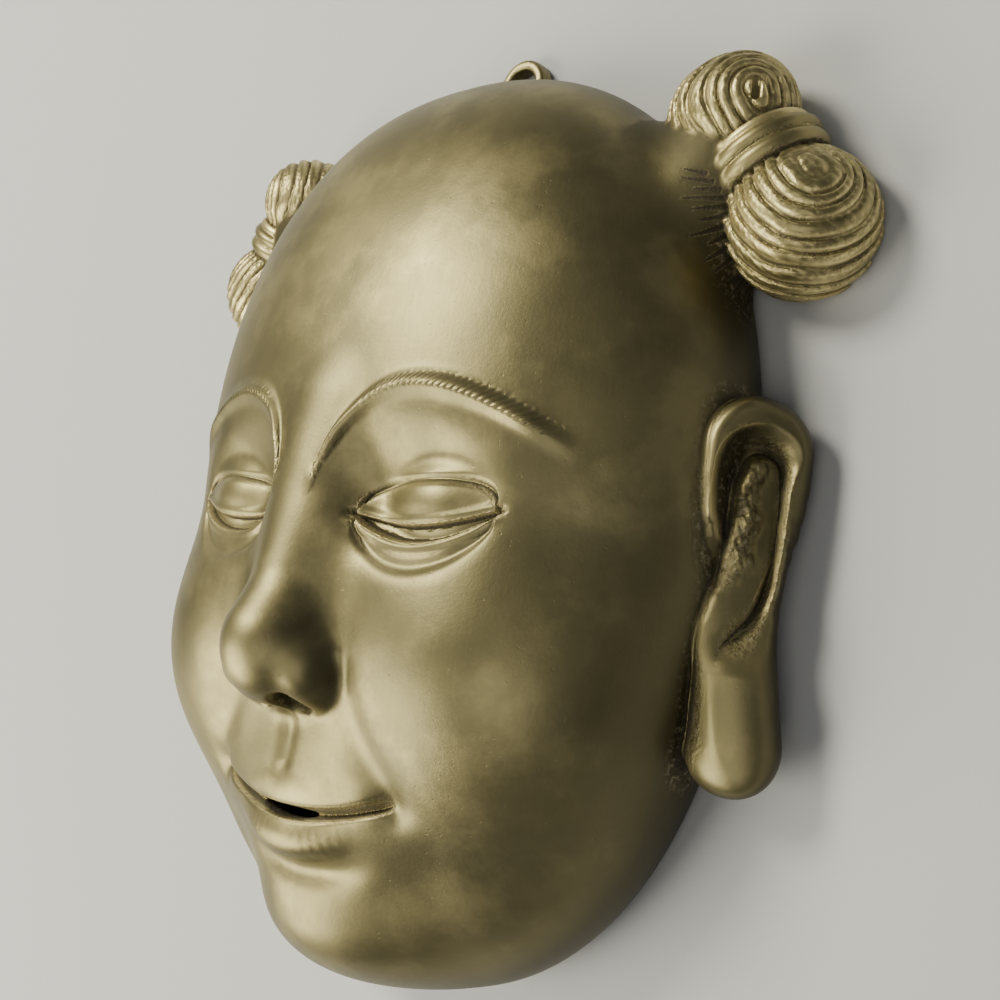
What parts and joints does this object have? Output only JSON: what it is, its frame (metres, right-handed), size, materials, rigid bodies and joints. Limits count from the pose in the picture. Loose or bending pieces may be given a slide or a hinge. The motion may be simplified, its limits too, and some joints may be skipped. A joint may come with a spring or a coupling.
{
  "type": "laughing buddha wall mask",
  "caption": "Hollow cast brass wall mask of a shaven head with a calm smile, long ears, bound side knots of hair and a hanging ring behind the crown; open at the back.",
  "frame": {"origin": "on the surface that the back rim lies on, under the middle of the outline's box", "axes": "+Z out of the face, +Y from chin to crown, +X towards the mask's own left ear"},
  "size_m": [0.1714, 0.1902, 0.0611],
  "materials": {
    "cast_brass": "aged olive-gold cast brass, satin on the high places, dark and granular in the recesses"
  },
  "bodies": {
    "root": {"mask": "cast_brass"}
  },
  "joints": []
}
